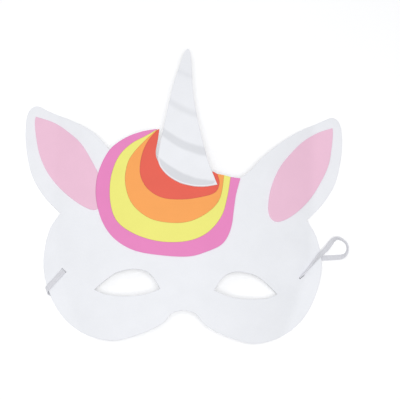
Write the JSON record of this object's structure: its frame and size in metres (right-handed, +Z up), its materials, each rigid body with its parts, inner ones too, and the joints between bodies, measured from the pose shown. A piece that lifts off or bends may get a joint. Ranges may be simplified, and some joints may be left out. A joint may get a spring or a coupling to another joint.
{
  "type": "unicorn masquerade mask",
  "caption": "Child's foam half mask of a unicorn with ears, horn and rainbow forelock, lying face up; it covers the upper face and is held on by a thin flat elastic.",
  "frame": {"origin": "middle of the mask's outline, on the surface that it lies on", "axes": "+Z up out of the mask's front, +Y towards the tip of the horn, +X towards the right ear in the picture"},
  "size_m": [0.202, 0.1816, 0.0204],
  "materials": {
    "foam_white": "fine closed-cell foam sheet",
    "foam_pink": "fine closed-cell foam sheet",
    "foam_magenta": "fine closed-cell foam sheet",
    "foam_yellow": "fine closed-cell foam sheet",
    "foam_orange": "fine closed-cell foam sheet",
    "foam_red": "fine closed-cell foam sheet",
    "elastic": "flat woven elastic"
  },
  "bodies": {
    "root": {"face": "foam_white", "mane_magenta": "foam_magenta", "mane_yellow": "foam_yellow", "mane_orange": "foam_orange", "mane_red": "foam_red", "ear_inner_left": "foam_pink", "ear_inner_right": "foam_pink", "horn": "foam_white", "elastic": "elastic"}
  },
  "joints": []
}
